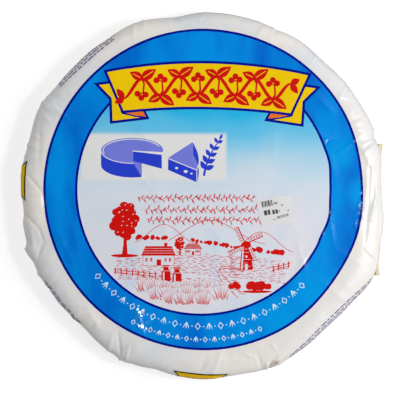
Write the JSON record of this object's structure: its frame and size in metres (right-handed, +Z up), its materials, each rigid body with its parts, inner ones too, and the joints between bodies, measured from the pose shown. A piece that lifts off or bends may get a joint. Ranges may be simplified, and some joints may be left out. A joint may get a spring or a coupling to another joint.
{
  "type": "brie wheel",
  "caption": "Whole flat round of soft cheese in a glossy printed film, gathered underneath and closed with a strip of paper tape.",
  "frame": {"origin": "on the resting face, below the middle of the whole outline", "axes": "+Z up out of the printed top, +Y to the top of the print, +X to its right"},
  "size_m": [0.3484, 0.3512, 0.0371],
  "materials": {
    "printed_film": "glossy white food film, printed in flat blue, yellow and red inks",
    "sticker_paper": "semi-matt white label paper with small dark bars",
    "tape_paper": "plain cream paper tape, matt"
  },
  "bodies": {
    "root": {"wrapped_wheel": "printed_film", "price_sticker": "sticker_paper", "closing_tape": "tape_paper"}
  },
  "joints": []
}
